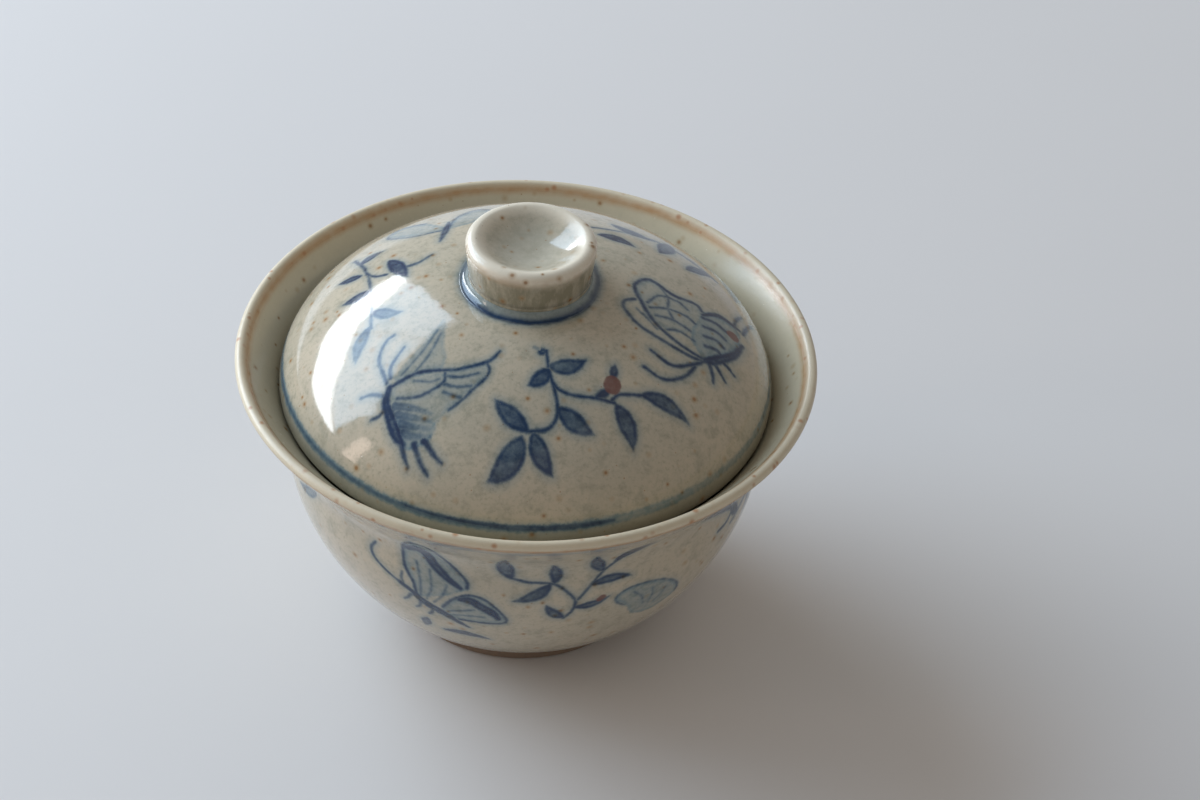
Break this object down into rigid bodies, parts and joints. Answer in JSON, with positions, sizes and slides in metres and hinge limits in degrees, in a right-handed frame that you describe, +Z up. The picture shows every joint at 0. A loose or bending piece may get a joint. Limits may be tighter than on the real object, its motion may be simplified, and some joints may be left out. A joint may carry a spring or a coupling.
{
  "type": "gaiwan",
  "caption": "Lidded tea bowl: a flared, deep bowl on a small foot ring, and a domed lid with a dished button knob that rests inside the flare and lifts straight off.",
  "frame": {"origin": "centre of the foot ring, on the plane the bowl stands on", "axes": "+Z up along the axis of the bowl and lid"},
  "size_m": [0.095, 0.095, 0.0723],
  "materials": {
    "painted_glaze": "glossy buff-grey glaze over brushed cobalt-blue painting, with rust specks",
    "knob_glaze": "glossy buff-grey glaze, pooled grey-green in the dish",
    "blue_glaze": "glossy glaze over a cobalt-blue band",
    "bare_clay": "matt unglazed stoneware"
  },
  "bodies": {
    "bowl": {"bowl_body": "painted_glaze", "bowl_foot_ring": "bare_clay"},
    "lid": {"lid_dome": "painted_glaze", "lid_knob": "knob_glaze", "knob_fillet": "blue_glaze"}
  },
  "joints": [
    {"name": "lid_lift", "type": "slide", "parent": "bowl", "child": "lid", "axis": [0, 0, 1], "range_m": [0, 0.06]}
  ]
}
